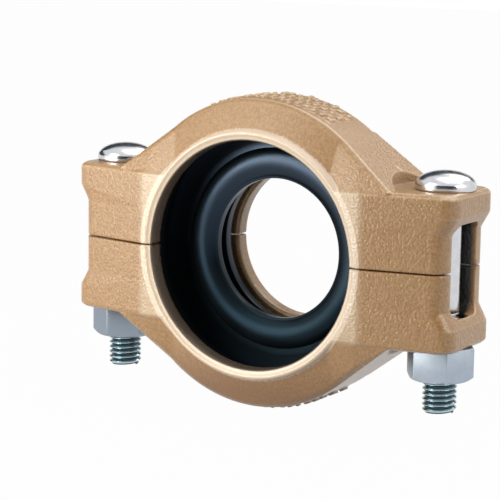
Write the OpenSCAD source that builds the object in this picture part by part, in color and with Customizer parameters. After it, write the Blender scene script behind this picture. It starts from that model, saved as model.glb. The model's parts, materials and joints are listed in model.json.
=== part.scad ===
/* [Pipe ends] */
// Inside radius of the key at the large pipe end
large_key_r = 42.75; // [38:0.25:48]
// Inside radius of the key at the small pipe end
small_key_r = 29; // [24:0.25:31]
// Width along the pipe of the large key
large_key_w = 7.2; // [5:0.1:9]
// Width along the pipe of the small key
small_key_w = 6.8; // [5:0.1:9]

/* [Housing] */
// Length of the coupling along the pipe
body_l = 48; // [44:0.5:56]
// Radial depth of the gasket seat behind the large key
seat_depth = 8.75; // [8:0.25:11]
// Radial depth of the gasket seat behind the small key
small_seat_depth = 9.5; // [8:0.25:11]
// Wall outside the gasket seat, up to the crest
wall_t = 6.5; // [5:0.25:9]
// Radial thickness of the lip round each pipe opening
lip_t = 3.75; // [2.5:0.25:5]
// How far the large lip stands out from the shoulder
lip_step = 2; // [1:0.25:3]
// How far the inner part of the large lip is sunk
lip_sink = 0.7; // [0.3:0.1:1.2]
// Distance from the large end face to the front edge of the crest
crest_front = 6; // [5:0.25:8]
// Width of the crest along the pipe
crest_w = 26.5; // [22:0.5:29]
// Bevel on the crest edges
crest_bevel = 1.4; // [0.4:0.1:2]
// Gap between the two halves at the bolt pads
part_gap = 0.5; // [0.4:0.1:2]
// Angle from the top where the straight flank leaves the crest
flank_angle = 37.5; // [35:0.5:41]

/* [Bolt pads] */
// Distance from the crest radius to the bolt axis
bolt_offset = 11.8; // [10:0.2:15]
// How far the bolts sit from the middle, toward the large end
bolt_shift = 1.4; // [-2:0.1:3]
// Distance from the bolt axis to the end of the pad
pad_end = 11.7; // [9:0.1:15]
// Height of each pad from the middle of the coupling
pad_h = 28.5; // [25:0.5:32]
// Thickness of the pad under the bolt head or over the nut
flange_t = 11.5; // [9:0.25:13]
// How far the pad end is drawn in at the middle
waist_in = 3.4; // [1:0.1:4.5]
// Distance from the bolt axis to the front of the pad at its end
pad_front = 17.8; // [16:0.1:20]
// Distance from the bolt axis to the back of the pad
pad_back = 17.9; // [15:0.1:20]
// Radius of the upright corners of the pad
pad_corner = 6; // [3:0.5:8]
// Bevel round the top of the pad
pad_edge = 1.3; // [0.5:0.1:2.5]
// Half width of the window in the pad end
window_w = 10; // [8.5:0.25:11.5]
// Corner radius of the window
window_corner = 4.5; // [2:0.5:6]
// Radius of the clearance cut round the bolt head
head_relief_r = 18.5; // [14:0.25:20]

/* [Bolts] */
// Diameter of the bolts
bolt_d = 12.7; // [10:0.1:14]
// Rise of the thread in one turn
thread_pitch = 1.954; // [1.25:0.001:2.2]
// Diameter of the bolt head
head_d = 22.2; // [20:0.2:26]
// Height of the bolt head
head_h = 7; // [5:0.1:9]
// Extra length of the oval neck over its width
neck_long = 5; // [3:0.25:6]
// Depth of the oval neck under the head
neck_h = 9; // [5:0.25:10]
// Play round the oval neck in the pad
neck_play = 0.3; // [0.2:0.05:0.6]
// Length of bolt that shows under the nut
bolt_end = 12.6; // [11:0.2:20]

/* [Nuts] */
// Width of the nuts across the flats
nut_af = 22.2; // [18:0.1:24]
// Height of the nuts
nut_h = 12.3; // [8:0.1:14]
// Radial play between a nut and its bolt
nut_play = 0.05; // [0.02:0.01:0.1]
// Turn of the left nut about its bolt
nut_turn_left = 30; // [0:1:59]
// Turn of the right nut about its bolt
nut_turn_right = 7; // [0:1:59]

/* [Gasket] */
// Play between the gasket and the housing seat
gasket_play = 0.3; // [0.1:0.05:0.6]
// Radius of the hole in the web between the two pipes
web_hole_r = 26.7; // [20:0.1:27.5]
// Thickness of the web between the two pipes
web_t = 3.4; // [2:0.1:5]

/* [Raised marks] */
// Marks in one row along the crest
mark_count = 15; // [6:1:18]
// Angle between two marks
mark_step = 3.6; // [3:0.1:4]
// Height of the marks
mark_h = 1; // [0.4:0.1:1.4]

/* [Hidden] */
$fn = 96;
front_y = -body_l / 2;
back_y = body_l / 2;
large_flank_y = front_y + large_key_w;
small_flank_y = back_y - small_key_w;
seat_r = large_key_r + seat_depth;
small_seat_r = small_key_r + small_seat_depth;
crest_r = seat_r + wall_t;
crest_y0 = front_y + crest_front;
crest_y1 = crest_y0 + crest_w;
bolt_x = crest_r + bolt_offset;
pad_x = bolt_x + pad_end;
seat_y0 = -3;
seat_y1 = seat_y0 + (seat_r - small_seat_r) * 0.75;
bolt_r = bolt_d / 2;
slot_r = bolt_r + 0.35 + neck_play;
bolt_y = -bolt_shift;
pad_y0 = bolt_y - pad_front;
pad_y1 = bolt_y + pad_back;
foot_x = (crest_r - pad_h * cos(flank_angle)) / sin(flank_angle);
flat_x = large_key_r + lip_t;
core_x = seat_r + 6;
eps = 0.01;

// Section of the outside of the ring: radius, then place along the pipe
module ring_outside() {
    rotate([-90, 0, 0]) rotate_extrude()
        polygon([[small_key_r - 4, front_y], [large_key_r + lip_t - 0.7, front_y],
                 [large_key_r + lip_t, front_y + 0.7], [large_key_r + lip_t, front_y + lip_step],
                 [crest_r - crest_bevel, crest_y0 - crest_bevel * 0.4], [crest_r, crest_y0 + crest_bevel * 0.6],
                 [crest_r, crest_y1 - crest_bevel], [crest_r - crest_bevel, crest_y1],
                 [small_seat_r + 7, seat_y1 + 7.5], [small_seat_r + 5.5, back_y - 3.5],
                 [small_key_r + lip_t + 0.8, back_y - 2], [small_key_r + lip_t, back_y - 0.7],
                 [small_key_r + lip_t - 0.7, back_y], [small_key_r - 4, back_y]]);
}

// Space inside the ring: the two pipe openings and the seat of the gasket
module ring_inside() {
    rotate([-90, 0, 0]) rotate_extrude()
        polygon([[0, front_y - 5], [large_key_r + lip_t - 1.4, front_y - 5], [large_key_r + lip_t - 1.4, front_y],
                 [large_key_r + 1.3, front_y + lip_sink], [large_key_r + 0.4, front_y + lip_sink],
                 [large_key_r, front_y + lip_sink + 0.4], [large_key_r, large_flank_y],
                 [seat_r, large_flank_y], [seat_r, seat_y0], [small_seat_r, seat_y1],
                 [small_seat_r, small_flank_y], [small_key_r + 1, small_flank_y],
                 [small_key_r, small_flank_y + 1], [small_key_r, back_y - 0.6],
                 [small_key_r + 0.6, back_y], [small_key_r + 0.6, back_y + 5], [0, back_y + 5]]);
}

// Outline of one pad seen from above, drawn in at its end and round its edge
module pad_outline(end_in, edge_in) {
    px = pad_x - end_in - edge_in;
    y0 = pad_y0 + edge_in;
    y1 = pad_y1 - edge_in;
    c = pad_corner;
    polygon(concat([[20, front_y + edge_in], [flat_x, front_y + edge_in]],
        [for (a = [-75 : 15 : 0]) [px - c + c * cos(a), y0 + c + c * sin(a)]],
        [for (a = [0 : 15 : 90]) [px - c + c * cos(a), y1 - c + c * sin(a)]],
        [[flat_x, pad_y1 + 1.5 - edge_in], [20, pad_y1 + 1.5 - edge_in]]));
}

// One bolt pad on the right-hand side: a flange over a drawn-in waist
module pad_solid() {
    waist_z = pad_h - flange_t - 3;
    hull() {
        translate([0, 0, pad_h - 0.02]) linear_extrude(height = 0.02) pad_outline(0, pad_edge);
        translate([0, 0, pad_h - flange_t + 3]) linear_extrude(height = flange_t - 3 - pad_edge) pad_outline(0, 0);
        translate([0, 0, waist_z]) linear_extrude(height = 0.02) pad_outline(waist_in, 0);
    }
    translate([0, 0, -eps]) linear_extrude(height = waist_z + 2 * eps) pad_outline(waist_in, 0);
}

// Straight flank from the crest down to the pad, leaning in at front and back
module flank() {
    difference() {
        translate([0, back_y, 0]) rotate([90, 0, 0]) linear_extrude(height = body_l)
            polygon([[18, pad_h - 0.3], [18, crest_r * 0.6], [crest_r * sin(flank_angle), crest_r * cos(flank_angle)],
                     [foot_x, pad_h], [foot_x, pad_h - 0.3]]);
        translate([0, crest_y0 - 0.1, crest_r * cos(flank_angle)]) rotate([-16, 0, 0]) translate([-5, -30, -60]) cube([120, 30, 120]);
        translate([44, crest_y0 - 0.1, crest_r * cos(flank_angle)]) rotate([-16, 0, 5]) translate([0, -30, -60]) cube([120, 30, 120]);
        translate([0, crest_y1 + 0.2, crest_r * cos(flank_angle)]) rotate([14, 0, 0]) translate([-5, 0, -60]) cube([120, 30, 120]);
        rotate([0, flank_angle, 0]) translate([0, crest_y0 - 0.1, crest_r]) rotate([0, 0, -atan(sin(flank_angle) * tan(16))])
            translate([-5, 0, -crest_bevel]) rotate([45, 0, 0]) translate([0, -30, 0]) cube([120, 60, 30]);
    }
}

// Hollow round the bolt, open at the pad end and at the split
module pad_core() {
    top_z = pad_h - flange_t;
    translate([core_x, bolt_y - window_w, -1]) cube([60, 2 * window_w, top_z - window_corner + 1]);
    translate([core_x, bolt_y - window_w + window_corner, -1]) cube([60, 2 * (window_w - window_corner), top_z + 1]);
    for (s = [-1, 1]) translate([core_x, bolt_y + s * (window_w - window_corner), top_z - window_corner])
        rotate([0, 90, 0]) cylinder(r = window_corner, h = 60, $fn = 48);
}

// Oval hole for the bolt neck
module bolt_slot() {
    for (s = [-1, 1]) translate([bolt_x + s * neck_long / 2, bolt_y, 5]) cylinder(r = slot_r, h = pad_h, $fn = 48);
    translate([bolt_x - neck_long / 2, bolt_y - slot_r, 5]) cube([neck_long, 2 * slot_r, pad_h]);
}

// Three rows of plain raised bars along the crest
module marks(lean, count) {
    for (row = [0 : 2], i = [0 : count - 1]) rotate([0, (i - (count - 1) / 2) * mark_step + lean, 0])
        let (wide = 1.3 + 0.5 * ((i + 2 * row) % 3), long = 2.4 + 0.9 * ((2 * i + row) % 3))
            translate([-wide / 2, crest_y0 + 4 + row * 7.2 + 0.5 * ((i + row) % 3), crest_r - 1])
                cube([wide, long, 1 + mark_h]);
}

// One casting: both halves are the same but for where the marks lean and how many there are
module casting(lean, count) {
    difference() {
        union() {
            ring_outside();
            for (s = [0, 1]) mirror([s, 0, 0]) { pad_solid(); flank(); }
            marks(lean, count);
        }
        ring_inside();
        for (s = [0, 1]) mirror([s, 0, 0]) {
            pad_core();
            bolt_slot();
            translate([bolt_x, bolt_y - 1.5, pad_h]) cylinder(r = head_relief_r, h = 30);
        }
        translate([-150, -60, -150]) cube([300, 120, 150 + part_gap / 2]);
    }
}

module upper_housing() { color("tan") casting(3, mark_count); }

module lower_housing() { color("burlywood") rotate([0, 180, 0]) casting(-8, mark_count - 3); }

// One-piece rubber ring with a sealing lip for each pipe and a web between them
module gasket() {
    g = gasket_play;
    wy0 = -1.8;
    wy1 = wy0 + web_t;
    big = seat_r - g;
    little = small_seat_r - g;
    lip_r = large_key_r + 1.45;
    slip_r = small_key_r + 1;
    color([0.12, 0.13, 0.15]) rotate([-90, 0, 0]) rotate_extrude()
        polygon([[big, large_flank_y], [big, seat_y0 - g], [little, seat_y1 - g], [little, small_flank_y],
                 [little - 3.5, small_flank_y], [slip_r + 0.6, small_flank_y - 2.4], [slip_r - 0.1, small_flank_y - 5],
                 [slip_r + 0.1, small_flank_y - 7], [slip_r + 3.6, small_flank_y - 8], [slip_r + 3.6, wy1 + 2.5],
                 [slip_r + 1, wy1 + 0.4], [slip_r - 0.5, wy1], [web_hole_r + 0.5, wy1], [web_hole_r, wy1 - 0.5],
                 [web_hole_r, wy0 + 0.6], [web_hole_r + 0.4, wy0 + 0.1], [web_hole_r + 2, wy0 - 0.9],
                 [web_hole_r + 4.5, wy0 - 1.9], [web_hole_r + 7.5, wy0 - 2.2], [web_hole_r + 10, wy0 - 1.7],
                 [web_hole_r + 11.3, wy0 - 0.7], [web_hole_r + 11.7, wy0], [lip_r - 0.6, wy0],
                 [lip_r + 3.4, wy0 - 2], [lip_r + 3.4, large_flank_y + 7], [lip_r + 0.2, large_flank_y + 5.5],
                 [lip_r, large_flank_y + 4], [lip_r + 1.2, large_flank_y + 1], [lip_r + 2, large_flank_y]]);
}

// Track-head bolt: dome head, oval neck and round shank
module bolt(x) {
    z_end = -pad_h - nut_h - bolt_end;
    thread_depth = 0.6 * thread_pitch;
    end_bevel = thread_depth;
    color("silver") translate([x, bolt_y, 0]) {
        translate([0, 0, pad_h]) rotate_extrude()
            polygon(concat([[0, 0], [head_d / 2 - 0.5, 0], [head_d / 2, 0.5], [head_d / 2, 1.4]],
                [for (a = [12 : 13 : 90]) [head_d / 2 * cos(a), 1.2 + (head_h - 1.2) * sin(a)]],
                [[0, head_h]]));
        for (s = [-1, 1]) translate([s * neck_long / 2, 0, pad_h - neck_h]) cylinder(r = slot_r - neck_play, h = neck_h + eps, $fn = 48);
        translate([-neck_long / 2, -(slot_r - neck_play), pad_h - neck_h]) cube([neck_long, 2 * (slot_r - neck_play), neck_h + eps]);
        translate([0, 0, z_end + end_bevel]) cylinder(r = bolt_r, h = pad_h - z_end - end_bevel);
        translate([0, 0, z_end]) cylinder(r1 = bolt_r - thread_depth, r2 = bolt_r, h = end_bevel);
    }
}

module bolt_left() { bolt(-bolt_x); }

module bolt_right() { bolt(bolt_x); }

// Heavy hexagon nut with its outer corners turned off
module nut(x, turn) {
    corner_r = nut_af / 2 / cos(30);
    color("lightsteelblue") translate([x, bolt_y, -pad_h - nut_h]) rotate([0, 0, turn]) difference() {
        intersection() {
            cylinder(r = corner_r, h = nut_h, $fn = 6);
            rotate_extrude() polygon([[0, 0], [nut_af / 2 - 0.4, 0], [corner_r + 0.1, 1.6], [corner_r + 0.1, nut_h - 0.6], [nut_af / 2 + 0.6, nut_h], [0, nut_h]]);
        }
        translate([0, 0, -1]) cylinder(r = bolt_r + nut_play, h = nut_h + 2);
        translate([0, 0, -eps]) cylinder(r1 = bolt_r + 0.7, r2 = bolt_r + nut_play, h = 0.7);
        translate([0, 0, nut_h - 0.7 + eps]) cylinder(r1 = bolt_r + nut_play, r2 = bolt_r + 0.7, h = 0.7);
    }
}

module nut_left() { nut(-bolt_x, nut_turn_left); }

module nut_right() { nut(bolt_x, nut_turn_right); }

upper_housing();
lower_housing();
gasket();
bolt_left();
bolt_right();
nut_left();
nut_right();
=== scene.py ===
import json
import math
import bpy
from mathutils import Matrix, Vector

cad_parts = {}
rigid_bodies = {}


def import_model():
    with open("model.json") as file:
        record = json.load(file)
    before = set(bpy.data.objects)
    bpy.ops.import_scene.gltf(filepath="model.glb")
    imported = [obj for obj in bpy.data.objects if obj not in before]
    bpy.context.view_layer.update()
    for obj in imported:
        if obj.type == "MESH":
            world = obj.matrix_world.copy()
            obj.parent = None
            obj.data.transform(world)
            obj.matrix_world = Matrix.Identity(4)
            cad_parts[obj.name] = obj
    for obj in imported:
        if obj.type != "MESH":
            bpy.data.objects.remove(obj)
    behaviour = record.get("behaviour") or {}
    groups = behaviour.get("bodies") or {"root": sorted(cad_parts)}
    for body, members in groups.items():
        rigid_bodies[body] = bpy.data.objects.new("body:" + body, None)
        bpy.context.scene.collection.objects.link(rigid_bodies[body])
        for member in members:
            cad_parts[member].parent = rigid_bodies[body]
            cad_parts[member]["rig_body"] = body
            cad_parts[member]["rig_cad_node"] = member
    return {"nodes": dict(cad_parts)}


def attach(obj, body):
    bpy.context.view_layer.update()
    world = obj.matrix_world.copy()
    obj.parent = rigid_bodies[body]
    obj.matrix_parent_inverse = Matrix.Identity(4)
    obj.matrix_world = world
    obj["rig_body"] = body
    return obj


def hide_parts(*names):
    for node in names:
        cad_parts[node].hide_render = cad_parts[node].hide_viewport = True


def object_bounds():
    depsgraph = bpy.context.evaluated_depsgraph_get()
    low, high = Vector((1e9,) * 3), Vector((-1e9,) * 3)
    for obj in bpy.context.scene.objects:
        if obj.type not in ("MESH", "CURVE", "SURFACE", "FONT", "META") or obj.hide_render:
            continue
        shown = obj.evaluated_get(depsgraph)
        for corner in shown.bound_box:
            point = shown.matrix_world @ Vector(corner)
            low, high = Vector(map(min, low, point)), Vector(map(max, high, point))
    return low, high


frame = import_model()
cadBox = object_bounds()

# +X runs to the right pad, +Y along the pipe to the small end, +Z up to the bolt heads
mm = 0.001
samePoint = 0.004 * mm  # points closer than this are merged
boltX, boltY, padTop = 69.8, -1.4, 28.5  # the bolts' axes and the height of the pads, mm
print("stage: frame loaded, nodes", sorted(frame["nodes"]))


# small helpers

def deselectAll():
    if bpy.context.object and bpy.context.object.mode != "OBJECT":
        bpy.ops.object.mode_set(mode="OBJECT")
    bpy.ops.object.select_all(action="DESELECT")


def pick(piece):
    deselectAll()
    piece.select_set(True)
    bpy.context.view_layer.objects.active = piece


def editAll():
    # edit mode, with the whole piece selected
    bpy.ops.object.mode_set(mode="EDIT")
    bpy.ops.mesh.select_all(action="SELECT")


def applyModifier(piece, kind, settings):
    pick(piece)
    modifier = piece.modifiers.new(kind.title(), kind)
    for key, value in settings.items():
        setattr(modifier, key, value)
    bpy.ops.object.modifier_apply(modifier=modifier.name)


def linearColour(text):
    # sRGB hex to the linear colour that Blender's sockets want
    parts = [int(text[i:i + 2], 16) / 255 for i in (0, 2, 4)]
    return tuple(p / 12.92 if p <= 0.04045 else ((p + 0.055) / 1.055) ** 2.4 for p in parts) + (1.0,)


def addNode(tree, kind, settings, links=()):
    # settings: property names, or socket names and numbers; links: (input, other node, its output)
    node = tree.nodes.new(kind)
    for key, value in settings.items():
        if isinstance(key, int) or key in node.inputs:
            node.inputs[key].default_value = value
        else:
            setattr(node, key, value)
    for socket, other, output in links:
        tree.links.new(other.outputs[output], node.inputs[socket])
    return node


def newMaterial(name):
    material = bpy.data.materials.new(name)
    material.use_nodes = True
    material.node_tree.nodes.clear()
    return material, material.node_tree


def finishPiece(piece, name, body, slot, material, *nodes):
    piece.name = name
    piece.data.name = name
    piece.data.materials.clear()
    piece.data.materials.append(material)
    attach(piece, body)
    if nodes:
        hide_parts(*nodes)


def copyCadNode(node):
    # a CAD node is loose triangles, so its copy is merged; it is left in edit mode, all selected
    pick(frame["nodes"][node])
    bpy.ops.object.duplicate()
    piece = bpy.context.object
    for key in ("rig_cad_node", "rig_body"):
        del piece[key]
    bpy.ops.object.parent_clear(type="CLEAR_KEEP_TRANSFORM")
    editAll()
    bpy.ops.mesh.remove_doubles(threshold=samePoint)
    return piece


def drawProfile(name, points):
    # one vertex, extruded from point to point as by hand; points are in metres
    deselectAll()
    bpy.ops.mesh.primitive_plane_add(size=1 * mm, location=(0, 0, 0))
    piece = bpy.context.object
    piece.name = name
    editAll()
    bpy.ops.mesh.merge(type="CENTER")
    bpy.ops.transform.translate(value=Vector(points[0]))
    for before, after in zip(points, points[1:]):
        bpy.ops.mesh.extrude_region_move(TRANSFORM_OT_translate={"value": Vector(after) - Vector(before)})
    bpy.ops.object.mode_set(mode="OBJECT")
    return piece


def spinProfile(name, points, axis, steps, centre=(0, 0, 0)):
    # turns a profile once round an axis and closes the seam
    piece = drawProfile(name, points)
    editAll()
    bpy.ops.mesh.spin(steps=steps, angle=2 * math.pi, center=centre, axis=axis)
    bpy.ops.mesh.select_all(action="SELECT")
    bpy.ops.mesh.remove_doubles(threshold=samePoint)
    bpy.ops.mesh.normals_make_consistent(inside=False)
    bpy.ops.object.mode_set(mode="OBJECT")
    return piece


def softCurve(points, count):
    # a smooth curve through the points, count steps between each two
    out = []
    for i in range(len(points) - 1):
        p0, p1 = points[max(i - 1, 0)], points[i]
        p2, p3 = points[i + 1], points[min(i + 2, len(points) - 1)]
        for k in range(count):
            t = k / count
            out.append(tuple(
                0.5 * (2 * b + (c - a) * t + (2 * a - 5 * b + 4 * c - d) * t * t
                       + (3 * b - a - 3 * c + d) * t ** 3)
                for a, b, c, d in zip(p0, p1, p2, p3)))
    return out + [tuple(points[-1])]


def aim(turn, lift, distance):
    # a place round the part: turn is counted from -Y towards +X, lift from the floor up, in degrees
    turn, lift = math.radians(turn), math.radians(lift)
    way = Vector((math.sin(turn) * math.cos(lift), -math.cos(turn) * math.cos(lift), math.sin(lift)))
    return way * distance


# camera, at the photograph's angle

cameraPlace = {
    "turn": 31.54, "lift": 9.45, "roll": 0.88,  # degrees
    "distance": 777.6, "target": (-12.9, 0.0, -2.06),  # mm
    "lens": 146.49, "sensor": 36, "nearest": 10,  # mm
}


def makeCamera(place):
    turn, roll = math.radians(place["turn"]), math.radians(place["roll"])
    back = aim(place["turn"], place["lift"], 1)
    right = Vector((math.cos(turn), math.sin(turn), 0))
    up = back.cross(right)
    right = right * math.cos(roll) + up * math.sin(roll)
    up = back.cross(right)
    data = bpy.data.cameras.new("camera")
    data.lens = place["lens"]
    data.sensor_width = place["sensor"]
    data.clip_start = place["nearest"] * mm
    camera = bpy.data.objects.new("camera", data)
    bpy.context.scene.collection.objects.link(camera)
    spot = Vector(place["target"]) * mm + back * place["distance"] * mm
    camera.matrix_world = Matrix(((right.x, up.x, back.x, spot.x), (right.y, up.y, back.y, spot.y),
                                  (right.z, up.z, back.z, spot.z), (0, 0, 0, 1)))
    bpy.context.scene.camera = camera


makeCamera(cameraPlace)
print("stage: camera")


# floor, lamps and world; places and sizes in metres, power in watts

studio = {
    "floorColour": "989896", "floorSize": 6, "floorGap": 0.02 * mm,
    "whiteShare": 0.98, "worldStrength": 0.22,
}

lamps = {
    "top": {"turn": 140, "lift": 74, "distance": 1.05, "size": (0.8, 0.8), "power": 7.0, "colour": "ffffff"},
    "front": {"turn": -30, "lift": 7, "distance": 0.37, "size": (0.18, 0.2), "power": 1.1, "colour": "fff9ec"},
    "left": {"turn": -50, "lift": 0, "distance": 0.36, "size": (0.16, 0.07), "power": 0.12, "colour": "fffaf0"},
    "high": {"turn": -31, "lift": 42, "distance": 0.8, "size": (0.4, 0.26), "power": 1.0, "colour": "fff9ec"},
    "side": {"turn": 85, "lift": 22, "distance": 1.0, "size": (0.5, 0.4), "power": 4.0, "colour": "fff6ea"},
    "back": {"turn": -171, "lift": 40, "distance": 1.1, "size": (0.9, 0.3), "power": 2.6, "colour": "fff6ea"},
}

flags = {  # dark cards that the plated steel mirrors, all out of the picture
    "front_flag": {"turn": 30, "distance": 1.3, "low": -0.05, "high": 0.85, "width": 2.1, "colour": "1c1e22"},
    "back_flag": {"turn": -150, "distance": 0.8, "low": 0.24, "high": 0.9, "width": 1.5, "colour": "3c454c"},
    "left_flag": {"turn": -95, "distance": 1.0, "low": 0.1, "high": 0.5, "width": 0.9, "colour": "4a5560"},
}


def makeArea(name, look):
    data = bpy.data.lights.new(name, "AREA")
    data.shape = "RECTANGLE"
    data.size, data.size_y = look["size"]
    data.energy = look["power"]
    data.color = linearColour(look["colour"])[:3]
    lamp = bpy.data.objects.new(name, data)
    bpy.context.scene.collection.objects.link(lamp)
    lamp.location = aim(look["turn"], look["lift"], look["distance"])
    lamp.rotation_euler = (-lamp.location).to_track_quat("-Z", "Y").to_euler()


def makeFlag(name, look):
    material, tree = newMaterial(name + "_card")
    card = addNode(tree, "ShaderNodeBsdfDiffuse", {"Color": linearColour(look["colour"])})
    addNode(tree, "ShaderNodeOutputMaterial", {}, [("Surface", card, 0)])
    deselectAll()
    bpy.ops.mesh.primitive_plane_add(size=1, rotation=(math.radians(90), 0, math.radians(look["turn"])))
    flag = bpy.context.object
    flag.name = name
    flag.scale = (look["width"], look["high"] - look["low"], 1)
    flag.location = aim(look["turn"], 0, look["distance"]) + Vector((0, 0, (look["high"] + look["low"]) / 2))
    bpy.ops.object.transform_apply(location=True, rotation=True, scale=True)
    flag.data.materials.append(material)


def whiteForEye(tree, share):
    # the share where the camera, a mirror or glass looks, and 0 where only light travels
    path = addNode(tree, "ShaderNodeLightPath", {})
    eye = addNode(tree, "ShaderNodeMath", {"operation": "ADD"},
                  [(0, path, "Is Camera Ray"), (1, path, "Is Glossy Ray")])
    eye = addNode(tree, "ShaderNodeMath", {"operation": "ADD", "use_clamp": True},
                  [(0, eye, 0), (1, path, "Is Transmission Ray")])
    return addNode(tree, "ShaderNodeMath", {"operation": "MULTIPLY", 1: share}, [(0, eye, 0)])


def makeFloor(look):
    material, tree = newMaterial("pale_paper")
    paper = addNode(tree, "ShaderNodeBsdfDiffuse", {"Color": linearColour(look["floorColour"])})
    white = addNode(tree, "ShaderNodeEmission", {"Color": (1, 1, 1, 1), "Strength": 1.0})
    both = addNode(tree, "ShaderNodeMixShader", {},
                   [(0, whiteForEye(tree, look["whiteShare"]), 0), (1, paper, 0), (2, white, 0)])
    addNode(tree, "ShaderNodeOutputMaterial", {}, [("Surface", both, 0)])
    deselectAll()
    bpy.ops.mesh.primitive_plane_add(size=look["floorSize"], location=(0, 0, cadBox[0][2] - look["floorGap"]))
    floor = bpy.context.object
    floor.name = "floor"
    floor.data.materials.append(material)


def makeWorld(look):
    world = bpy.data.worlds.new("studio")
    bpy.context.scene.world = world
    world.use_nodes = True
    tree = world.node_tree
    tree.nodes.clear()
    soft = addNode(tree, "ShaderNodeBackground", {"Color": (1, 1, 1, 1), "Strength": look["worldStrength"]})
    white = addNode(tree, "ShaderNodeBackground", {"Color": (1, 1, 1, 1), "Strength": 1.0})
    both = addNode(tree, "ShaderNodeMixShader", {},
                   [(0, whiteForEye(tree, 1.0), 0), (1, soft, 0), (2, white, 0)])
    addNode(tree, "ShaderNodeOutputWorld", {}, [("Surface", both, 0)])


makeFloor(studio)
for name, look in flags.items():
    makeFlag(name, look)
makeWorld(studio)
for name, look in lamps.items():
    makeArea(name + "_lamp", look)
bpy.context.scene.view_settings.view_transform = "Standard"
print("stage: studio")


# materials; a ramp in a look is (what it goes by, start, end, value at the start, value at the end)

def measurePlace(tree, place):
    # what a ramp can go by: a node, its output and the unit that the ramp is written in
    at = addNode(tree, "ShaderNodeSeparateXYZ", {}, [(0, place, "Object")])
    out = addNode(tree, "ShaderNodeVectorMath", {"operation": "ABSOLUTE"}, [(0, place, "Object")])
    out = addNode(tree, "ShaderNodeSeparateXYZ", {}, [(0, out, 0)])
    radius = addNode(tree, "ShaderNodeCombineXYZ", {}, [(0, at, 0), (1, at, 2)])
    radius = addNode(tree, "ShaderNodeVectorMath", {"operation": "LENGTH"}, [(0, radius, 0)])
    return {
        "x": (at, 0, mm), "y": (at, 1, mm), "z": (at, 2, mm),
        "outX": (out, 0, mm), "outY": (out, 1, mm), "outZ": (out, 2, mm),  # the same on both sides of 0
        "radius": (radius, "Value", mm),  # from the pipe's axis
    }


def overlap(tree, measures, *ramps):
    # the ramps, multiplied
    product = None
    for measure, start, end, first, last in ramps:
        node, output, unit = measures[measure]
        ramp = addNode(tree, "ShaderNodeMapRange",
                       {"From Min": start * unit, "From Max": end * unit, "To Min": first, "To Max": last},
                       [("Value", node, output)])
        if product:
            ramp = addNode(tree, "ShaderNodeMath", {"operation": "MULTIPLY"}, [(0, product, 0), (1, ramp, 0)])
        product = ramp
    return product


def layPaintedLight(tree, measures, tone, paintedLight):
    # painted light and shade: a colour, then the ramps in whose overlap it lies
    for colour, *ramps in paintedLight.values():
        tone = addNode(tree, "ShaderNodeMix", {"data_type": "RGBA", 7: linearColour(colour)},
                       [("Factor", overlap(tree, measures, *ramps), 0), (6, tone, 2)])
    return tone


# satin enamel on sand-cast ductile iron: a warm tan skin with the sand's fine orange peel under it
enamelLook = {
    "pit": "906a3e", "crest": "ab8557",  # the enamel is thin on the crests of the skin and pools in its pits
    "grain": 0.45, "wrinkle": 0.9, "cloud": 22,  # sizes of the patterns, mm
    "stretch": (1, 1, 0.85),  # draws the wrinkles out upwards
    "wrinkleHeight": 0.7, "grainHeight": ("grain", 0.2, 0.8, 0, 0.3), "tone": ("height", 0.35, 0.65, 0, 1),
    "grainStrength": 0.5, "grainDepth": 0.08, "wrinkleDepth": 0.22,  # depths in mm
    "wrinkleStrength": ("outX", 36, 46, 0.3, 1),  # calm on the ring and deep on the pads
    "ragged": 0.8,  # how far the wrinkles move the edge of a painted highlight along y, mm
    "roughness": ("grain", 0.3, 0.7, 0.54, 0.42), "ior": 1.5, "clearCoat": 1.0, "clearCoatRoughness": 0.33,
    "paintedLight": {  # painted light and shade, laid one over the other in this order
        # painted shade: darker towards the foot of the lower casting
        "painted shade at the foot": ("6f4512", ("z", -36, -52, 0, 0.7)),
        # painted highlight: pale lines along the convex edges, except at the parting line and low on the lower
        # half
        "painted highlight on the edges": (
            "cfb48b", ("outZ", 1, 3, 0, 1), ("z", -30, -20, 0, 1), ("edge", 0.506, 0.532, 0, 0.8)),
        # painted sheen: the flat front face beside the opening made lighter, as its highlight
        "painted sheen on the front face": (
            "b89f80", ("raggedY", -23.5, -24.1, 0, 1), ("outX", 49, 46, 0, 1), ("cloud", 0.2, 0.6, 0.8, 1)),
        # painted highlight: the lip round the opening made pale cream
        "painted highlight on the lip": (
            "d8c5b0", ("radius", 47.5, 47.1, 0, 1), ("raggedY", -21.9, -22.5, 0, 1)),
        # painted shade: the inside of the key bore darkened
        "painted shade in the key bore": (
            "4f3e29", ("radius", 43.1, 43.5, 0.95, 0), ("y", -14, -15, 0, 1)),
        # painted shade: near-black in the pockets behind the bolts
        "painted shade in the bolt pockets": (
            "161514", ("outX", 75.5, 77, 1, 0), ("outY", 9.5, 10.5, 1, 0), ("outZ", 20, 22, 1, 0)),
    },
}


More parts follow.
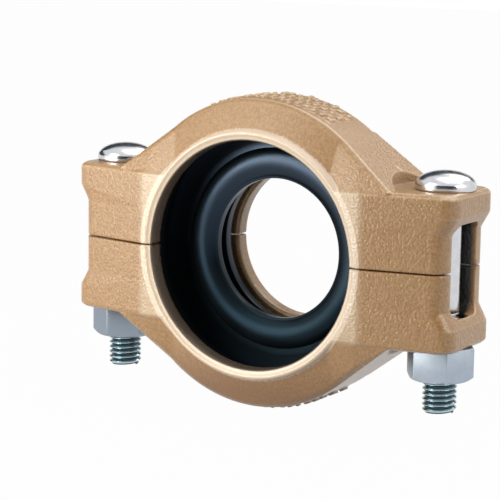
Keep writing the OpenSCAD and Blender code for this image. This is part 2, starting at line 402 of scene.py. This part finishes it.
def makeEnamel(look):
    material, tree = newMaterial("satin_enamel_on_sand_cast_iron")
    place = addNode(tree, "ShaderNodeTexCoord", {})
    drawn = addNode(tree, "ShaderNodeMapping", {"Scale": look["stretch"]}, [("Vector", place, "Object")])
    grain = addNode(tree, "ShaderNodeTexNoise",
                    {"Scale": 1 / (look["grain"] * mm), "Detail": 2.0, "Roughness": 0.55},
                    [("Vector", place, "Object")])
    wrinkle = addNode(tree, "ShaderNodeTexNoise",
                      {"Scale": 1 / (look["wrinkle"] * mm), "Detail": 1.0, "Distortion": 0.15},
                      [("Vector", drawn, 0)])
    cloud = addNode(tree, "ShaderNodeTexNoise", {"Scale": 1 / (look["cloud"] * mm), "Detail": 3.0},
                    [("Vector", place, "Object")])
    edge = addNode(tree, "ShaderNodeNewGeometry", {})
    measures = measurePlace(tree, place)
    ragged = addNode(tree, "ShaderNodeMath", {"operation": "MULTIPLY_ADD", 1: -look["ragged"] * mm},
                     [(0, wrinkle, 0), (2, measures["y"][0], 1)])
    measures.update(grain=(grain, 0, 1), cloud=(cloud, 0, 1), edge=(edge, "Pointiness", 1))
    measures["raggedY"] = (ragged, 0, mm)

    height = addNode(tree, "ShaderNodeMath", {"operation": "MULTIPLY_ADD", 1: look["wrinkleHeight"]},
                     [(0, wrinkle, 0), (2, overlap(tree, measures, look["grainHeight"]), 0)])
    measures["height"] = (height, 0, 1)
    tone = addNode(tree, "ShaderNodeMix",
                   {"data_type": "RGBA", 6: linearColour(look["pit"]), 7: linearColour(look["crest"])},
                   [("Factor", overlap(tree, measures, look["tone"]), 0)])
    tone = layPaintedLight(tree, measures, tone, look["paintedLight"])

    fineBump = addNode(tree, "ShaderNodeBump",
                       {"Strength": look["grainStrength"], "Distance": look["grainDepth"] * mm},
                       [("Height", grain, 0)])
    bump = addNode(tree, "ShaderNodeBump", {"Distance": look["wrinkleDepth"] * mm},
                   [("Height", wrinkle, 0), ("Normal", fineBump, 0),
                    ("Strength", overlap(tree, measures, look["wrinkleStrength"]), 0)])
    skin = addNode(tree, "ShaderNodeBsdfPrincipled",
                   {"IOR": look["ior"], "Coat Weight": look["clearCoat"],
                    "Coat Roughness": look["clearCoatRoughness"]},
                   [("Roughness", overlap(tree, measures, look["roughness"]), 0),
                    ("Base Color", tone, 2), ("Normal", bump, 0), ("Coat Normal", bump, 0)])
    addNode(tree, "ShaderNodeOutputMaterial", {}, [("Surface", skin, 0)])
    return material


# moulded EPDM rubber: near-black with a soft blue-grey sheen where the studio falls on it
rubberLook = {
    "colour": "0b0e11", "hazy": "141b20", "gleam": "74c2ee", "bloom": "c6d2fa",
    "speck": 0.6, "haze": 14, "depth": 0.05,  # sizes of the patterns and depth of the specks, mm
    "strength": 0.15, "roughness": ("haze", 0, 1, 0.25, 0.4), "ior": 1.52,
    # the large lip's funnel is duller than the bulge, which is glossiest above
    "above": ("z", -20, 22, 0.17, 0.6), "inside": ("radius", 41, 38.8, 0.12, 1),
}


def makeRubber(look):
    material, tree = newMaterial("moulded_epdm_rubber")
    place = addNode(tree, "ShaderNodeTexCoord", {})
    speck = addNode(tree, "ShaderNodeTexNoise", {"Scale": 1 / (look["speck"] * mm), "Detail": 2.0},
                    [("Vector", place, "Object")])
    haze = addNode(tree, "ShaderNodeTexNoise", {"Scale": 1 / (look["haze"] * mm), "Detail": 2.0},
                   [("Vector", place, "Object")])
    tone = addNode(tree, "ShaderNodeMix",
                   {"data_type": "RGBA", 6: linearColour(look["colour"]), 7: linearColour(look["hazy"])},
                   [("Factor", haze, 0)])
    bump = addNode(tree, "ShaderNodeBump", {"Strength": look["strength"], "Distance": look["depth"] * mm},
                   [("Height", speck, 0)])
    measures = measurePlace(tree, place)
    measures["haze"] = (haze, 0, 1)
    shine = overlap(tree, measures, look["above"], look["inside"])
    tint = addNode(tree, "ShaderNodeMix",
                   {"data_type": "RGBA", 6: linearColour(look["gleam"]), 7: linearColour(look["bloom"])},
                   [("Factor", overlap(tree, measures, look["above"]), 0)])
    skin = addNode(tree, "ShaderNodeBsdfPrincipled", {"IOR": look["ior"]},
                   [("Specular IOR Level", shine, 0), ("Specular Tint", tint, 2), ("Base Color", tone, 2),
                    ("Roughness", overlap(tree, measures, look["roughness"]), 0), ("Normal", bump, 0)])
    addNode(tree, "ShaderNodeOutputMaterial", {}, [("Surface", skin, 0)])
    return material


# zinc-plated steel: bright on the forged heads and shanks, satin and bluish on the nuts
zincLooks = {
    "bright_zinc_plated_steel": {
        "dark": "bfc2c8", "colour": "dfe0e3", "roughness": ("mottle", 0, 1, 0.14, 0.26), "depth": 0.02,
        # the rolled thread below the nuts is duller, with painted shade in its roots
        "root": "34434c", "crest": "b8cdd3",
        "tooth": ("boltRadius", 5.2, 6.3, 0, 1), "below": ("outZ", 41.2, 42, 0, 1),
        "paintedLight": {},
    },
    "satin_zinc_plated_steel": {
        "dark": "96a1ae", "colour": "b0bac6", "roughness": ("mottle", 0, 1, 0.36, 0.48), "depth": 0.05,
        # painted shade: the left nut darker than the right
        "paintedLight": {"painted shade on the left nut": ("8b96a2", ("x", 1, -1, 0, 0.8))},
    },
}
plating = {"mottle": 3.5, "speck": 0.5, "strength": 0.4}  # the same on both; sizes of the patterns in mm


def paintThread(tree, measures, tone, look):
    side = addNode(tree, "ShaderNodeMath", {"operation": "SUBTRACT", 1: boltX * mm},
                   [(0, measures["outX"][0], 0)])
    along = addNode(tree, "ShaderNodeMath", {"operation": "SUBTRACT", 1: boltY * mm},
                    [(0, measures["y"][0], 1)])
    radius = addNode(tree, "ShaderNodeCombineXYZ", {}, [(0, side, 0), (1, along, 0)])
    radius = addNode(tree, "ShaderNodeVectorMath", {"operation": "LENGTH"}, [(0, radius, 0)])
    measures["boltRadius"] = (radius, "Value", mm)
    # painted shade: the thread's colour darkens towards its roots
    thread = addNode(tree, "ShaderNodeMix",
                     {"data_type": "RGBA", 6: linearColour(look["root"]), 7: linearColour(look["crest"])},
                     [("Factor", overlap(tree, measures, look["tooth"]), 0)])
    return addNode(tree, "ShaderNodeMix", {"data_type": "RGBA"},
                   [("Factor", overlap(tree, measures, look["below"]), 0), (6, tone, 2), (7, thread, 2)])


def makeZinc(name, look):
    material, tree = newMaterial(name)
    place = addNode(tree, "ShaderNodeTexCoord", {})
    mottle = addNode(tree, "ShaderNodeTexNoise", {"Scale": 1 / (plating["mottle"] * mm), "Detail": 4.0},
                     [("Vector", place, "Object")])
    speck = addNode(tree, "ShaderNodeTexNoise", {"Scale": 1 / (plating["speck"] * mm), "Detail": 2.0},
                    [("Vector", place, "Object")])
    tone = addNode(tree, "ShaderNodeMix",
                   {"data_type": "RGBA", 6: linearColour(look["dark"]), 7: linearColour(look["colour"])},
                   [("Factor", mottle, 0)])
    bump = addNode(tree, "ShaderNodeBump", {"Strength": plating["strength"], "Distance": look["depth"] * mm},
                   [("Height", speck, 0)])
    measures = measurePlace(tree, place)
    measures["mottle"] = (mottle, 0, 1)
    if "tooth" in look:
        tone = paintThread(tree, measures, tone, look)
    tone = layPaintedLight(tree, measures, tone, look["paintedLight"])
    skin = addNode(tree, "ShaderNodeBsdfPrincipled", {"Metallic": 1.0},
                   [("Roughness", overlap(tree, measures, look["roughness"]), 0),
                    ("Base Color", tone, 2), ("Normal", bump, 0)])
    addNode(tree, "ShaderNodeOutputMaterial", {}, [("Surface", skin, 0)])
    return material


enamel = makeEnamel(enamelLook)
rubber = makeRubber(rubberLook)
brightZinc, satinZinc = (makeZinc(name, look) for name, look in zincLooks.items())
print("stage: materials")


# the two castings: a copy of each CAD half, its edges rounded as sand and fettling leave them

castingLook = {"voxel": 0.42, "rounds": 4, "share": 0.5, "keep": 0.34}  # the voxel in mm


def makeCasting(node, name, body, look):
    piece = copyCadNode(node)
    bpy.ops.object.mode_set(mode="OBJECT")
    applyModifier(piece, "REMESH", {"mode": "VOXEL", "voxel_size": look["voxel"] * mm})
    applyModifier(piece, "SMOOTH", {"factor": look["share"], "iterations": look["rounds"]})
    applyModifier(piece, "DECIMATE", {"decimate_type": "COLLAPSE", "ratio": look["keep"]})
    print("casting", name, "has", len(piece.data.polygons), "faces")
    bpy.ops.object.shade_smooth()
    finishPiece(piece, name, body, "housing_enamel", enamel, node)


makeCasting("upper_housing", "upper_casting", "upper_half", castingLook)
makeCasting("lower_housing", "lower_casting", "lower_half", castingLook)
print("stage: castings")


# the rubber ring: lips, web and bulge on one turned profile, as (radius, place along the pipe) in mm

ringLook = {
    "outside": [(51.2, -16.8), (51.2, -3.3), (38.2, 6.45), (38.2, 17.2)],
    "smallLip": [(34.7, 17.2), (30.6, 14.8), (29.9, 12.2), (30.1, 10.2),
                 (33.6, 9.2), (33.6, 4.1), (30.0, 2.0), (29.5, 1.6)],
    "web": [(27.2, 1.6), (26.85, 1.45), (26.7, 1.1), (26.7, -1.2), (26.8, -1.6), (27.1, -1.75)],
    "bulge": [(27.5, -1.9), (28.7, -2.7), (31.2, -3.7), (34.2, -4.0),
              (36.7, -3.5), (38.0, -2.5), (38.4, -1.8)],
    "largeLip": [(43.6, -1.8), (47.6, -3.8), (47.6, -9.8), (44.4, -11.3),
                 (44.2, -12.8), (45.4, -15.8), (46.2, -16.8)],
    "webSteps": 3, "bulgeSteps": 5, "steps": 160, "smoothAngle": 32,
}


def makeRing(look):
    path = look["outside"] + look["smallLip"] + softCurve(look["web"], look["webSteps"])
    path = path + softCurve(look["bulge"], look["bulgeSteps"]) + look["largeLip"]
    path.append(path[0])
    piece = spinProfile("sealing_ring", [(r * mm, y * mm, 0) for r, y in path], (0, 1, 0), look["steps"])
    pick(piece)
    bpy.ops.object.shade_smooth_by_angle(angle=math.radians(look["smoothAngle"]))
    finishPiece(piece, "sealing_ring", "lower_half", "gasket_rubber", rubber, "gasket")


makeRing(ringLook)
print("stage: sealing ring")


# bolts: dome head, oval neck and shank with a rolled thread, 13 turns to the inch; mm and degrees

boltLook = {
    "headRadius": 11.1, "headHeight": 7.0, "headSteps": 96, "smoothAngle": 34,
    "rim": [(0.55, 0), (0.2, 0.12), (0.02, 0.45), (0, 0.9)],  # in from the head's radius, up from the pad
    "rimHeight": 1.7, "domeAngles": range(4, 90, 5),
    "neckRadius": 6.7, "neckSpread": 2.5, "neckDepth": 9.0, "neckSteps": 64, "sunk": 1.0,
    "shank": 6.3, "shankSteps": 64, "shankTop": 5, "runOut": 0.5,
    "coreInset": 0.3, "coreDepth": 2,  # the shank's lower end is hidden inside the thread
    "pitch": 1.954, "crest": 6.35, "threadDepth": 1.1, "threadSteps": 56,
    # one tooth, as (1 for the crest or 0 for the root, how far off its radius, share of the pitch)
    "tooth": [(0, 0, 0), (0, 0, 0.14), (0, 0.1, 0.17), (1, -0.05, 0.51), (1, 0, 0.54),
              (1, 0, 0.63), (1, -0.05, 0.66), (0, 0.1, 0.97), (0, 0, 1)],
    "threadTop": -16.0, "end": -53.4, "phase": 0.6, "bevelStart": 0.15, "bevelSlope": 0.95,
}


def spinShape(name, shape, centre, steps):
    # shape: (radius, height) in mm, turned round the bolt's axis
    points = [(centre.x + r * mm, centre.y, z * mm) for r, z in shape]
    return spinProfile(name, points, (0, 0, 1), steps, centre)


def makeHead(centre, look):
    radius, rise = look["headRadius"], look["rimHeight"]
    angles = [math.radians(degrees) for degrees in look["domeAngles"]]
    rim = [(radius - inward, padTop + up) for inward, up in look["rim"]]
    dome = [(radius * math.cos(a), padTop + rise + (look["headHeight"] - rise) * math.sin(a)) for a in angles]
    shape = [(0.0, padTop)] + rim + dome + [(0.0, padTop + look["headHeight"])]
    return spinShape("head", shape, centre, look["headSteps"])


def makeNeck(centre, look):
    # a cylinder whose two sides are pulled apart along x, its top sunk into the head
    depth, middle = look["neckDepth"] + look["sunk"], padTop + (look["sunk"] - look["neckDepth"]) / 2
    deselectAll()
    bpy.ops.mesh.primitive_cylinder_add(vertices=look["neckSteps"], radius=look["neckRadius"] * mm,
                                        depth=depth * mm, location=centre + Vector((0, 0, middle * mm)))
    neck = bpy.context.object
    bpy.ops.object.transform_apply(location=True)
    for way in (-1, 1):
        for vertex in neck.data.vertices:
            vertex.select = way * (vertex.co.x - centre.x) > 0.01 * mm
        for edge in neck.data.edges:
            edge.select = all(neck.data.vertices[i].select for i in edge.vertices)
        for face in neck.data.polygons:
            face.select = all(neck.data.vertices[i].select for i in face.vertices)
        bpy.ops.object.mode_set(mode="EDIT")
        bpy.ops.transform.translate(value=(way * look["neckSpread"] * mm, 0, 0))
        bpy.ops.object.mode_set(mode="OBJECT")
    return neck


def makeShank(centre, look):
    core = look["crest"] - look["threadDepth"] - look["coreInset"]
    low, high = look["threadTop"] - look["coreDepth"], padTop - look["shankTop"]
    shape = [(0.0, low), (core, low), (look["shank"], look["threadTop"] + look["runOut"]),
             (look["shank"], high), (0.0, high)]
    return spinShape("shank", shape, centre, look["shankSteps"])


def makeThread(centre, look):
    pitch, top, end = look["pitch"], look["threadTop"], look["end"]
    crest, root = look["crest"], look["crest"] - look["threadDepth"]
    tooth = [((crest if high else root) + off, share * pitch) for high, off, share in look["tooth"]]
    thread = drawProfile("thread", [(r * mm, 0, z * mm) for r, z in tooth])
    applyModifier(thread, "SCREW", {
        "axis": "Z", "angle": 2 * math.pi, "screw_offset": pitch * mm,
        "steps": look["threadSteps"], "render_steps": look["threadSteps"],
        "iterations": math.ceil((top - end) / pitch) + 1,
        "use_merge_vertices": True, "merge_threshold": samePoint})
    pick(thread)
    editAll()
    bpy.ops.transform.translate(value=centre + Vector((0, 0, (end - look["phase"] * pitch) * mm)))
    bpy.ops.mesh.normals_make_consistent(inside=False)
    for level, cut in ((end, "clear_outer"), (top, "clear_inner")):
        bpy.ops.mesh.select_all(action="SELECT")
        bpy.ops.mesh.bisect(plane_co=(0, 0, level * mm), plane_no=(0, 0, -1), use_fill=True, **{cut: True})
    bpy.ops.mesh.select_all(action="SELECT")
    bpy.ops.mesh.normals_make_consistent(inside=False)
    bpy.ops.object.mode_set(mode="OBJECT")
    for vertex in thread.data.vertices:  # the lead-in bevel of the rolled end
        out = Vector((vertex.co.x - centre.x, vertex.co.y - centre.y, 0))
        limit = (root - look["bevelStart"] + (vertex.co.z / mm - end) * look["bevelSlope"]) * mm
        if out.length > limit:
            vertex.co = Vector((centre.x, centre.y, vertex.co.z)) + out.normalized() * limit
    return thread


def makeBolt(side, word, look):
    centre = Vector((side * boltX, boltY, 0)) * mm
    parts = [make(centre, look) for make in (makeHead, makeNeck, makeShank, makeThread)]
    deselectAll()
    for part in parts:
        part.select_set(True)
    bpy.context.view_layer.objects.active = parts[0]
    bpy.ops.object.join()
    bolt = bpy.context.object
    bpy.ops.object.shade_smooth_by_angle(angle=math.radians(look["smoothAngle"]))
    finishPiece(bolt, "zinc_bolt_" + word, "upper_half", "bolt_zinc", brightZinc, "bolt_" + word)


for side, word in ((-1, "left"), (1, "right")):
    makeBolt(side, word, boltLook)
print("stage: bolts")


# nuts: a copy of each CAD nut with its sharp edges broken; mm and degrees

nutLook = {"bevel": 0.22, "segments": 2, "angle": 24, "flatAngle": 1.0, "smoothAngle": 30}


def makeNut(word, look):
    piece = copyCadNode("nut_" + word)
    bpy.ops.mesh.dissolve_limited(angle_limit=math.radians(look["flatAngle"]))
    bpy.ops.object.mode_set(mode="OBJECT")
    applyModifier(piece, "BEVEL", {"width": look["bevel"] * mm, "segments": look["segments"],
                                   "limit_method": "ANGLE", "angle_limit": math.radians(look["angle"])})
    bpy.ops.object.shade_smooth_by_angle(angle=math.radians(look["smoothAngle"]))
    finishPiece(piece, "zinc_nut_" + word, word + "_nut", "nut_zinc", satinZinc, "nut_" + word)


for word in ("left", "right"):
    makeNut(word, nutLook)
print("stage: nuts")
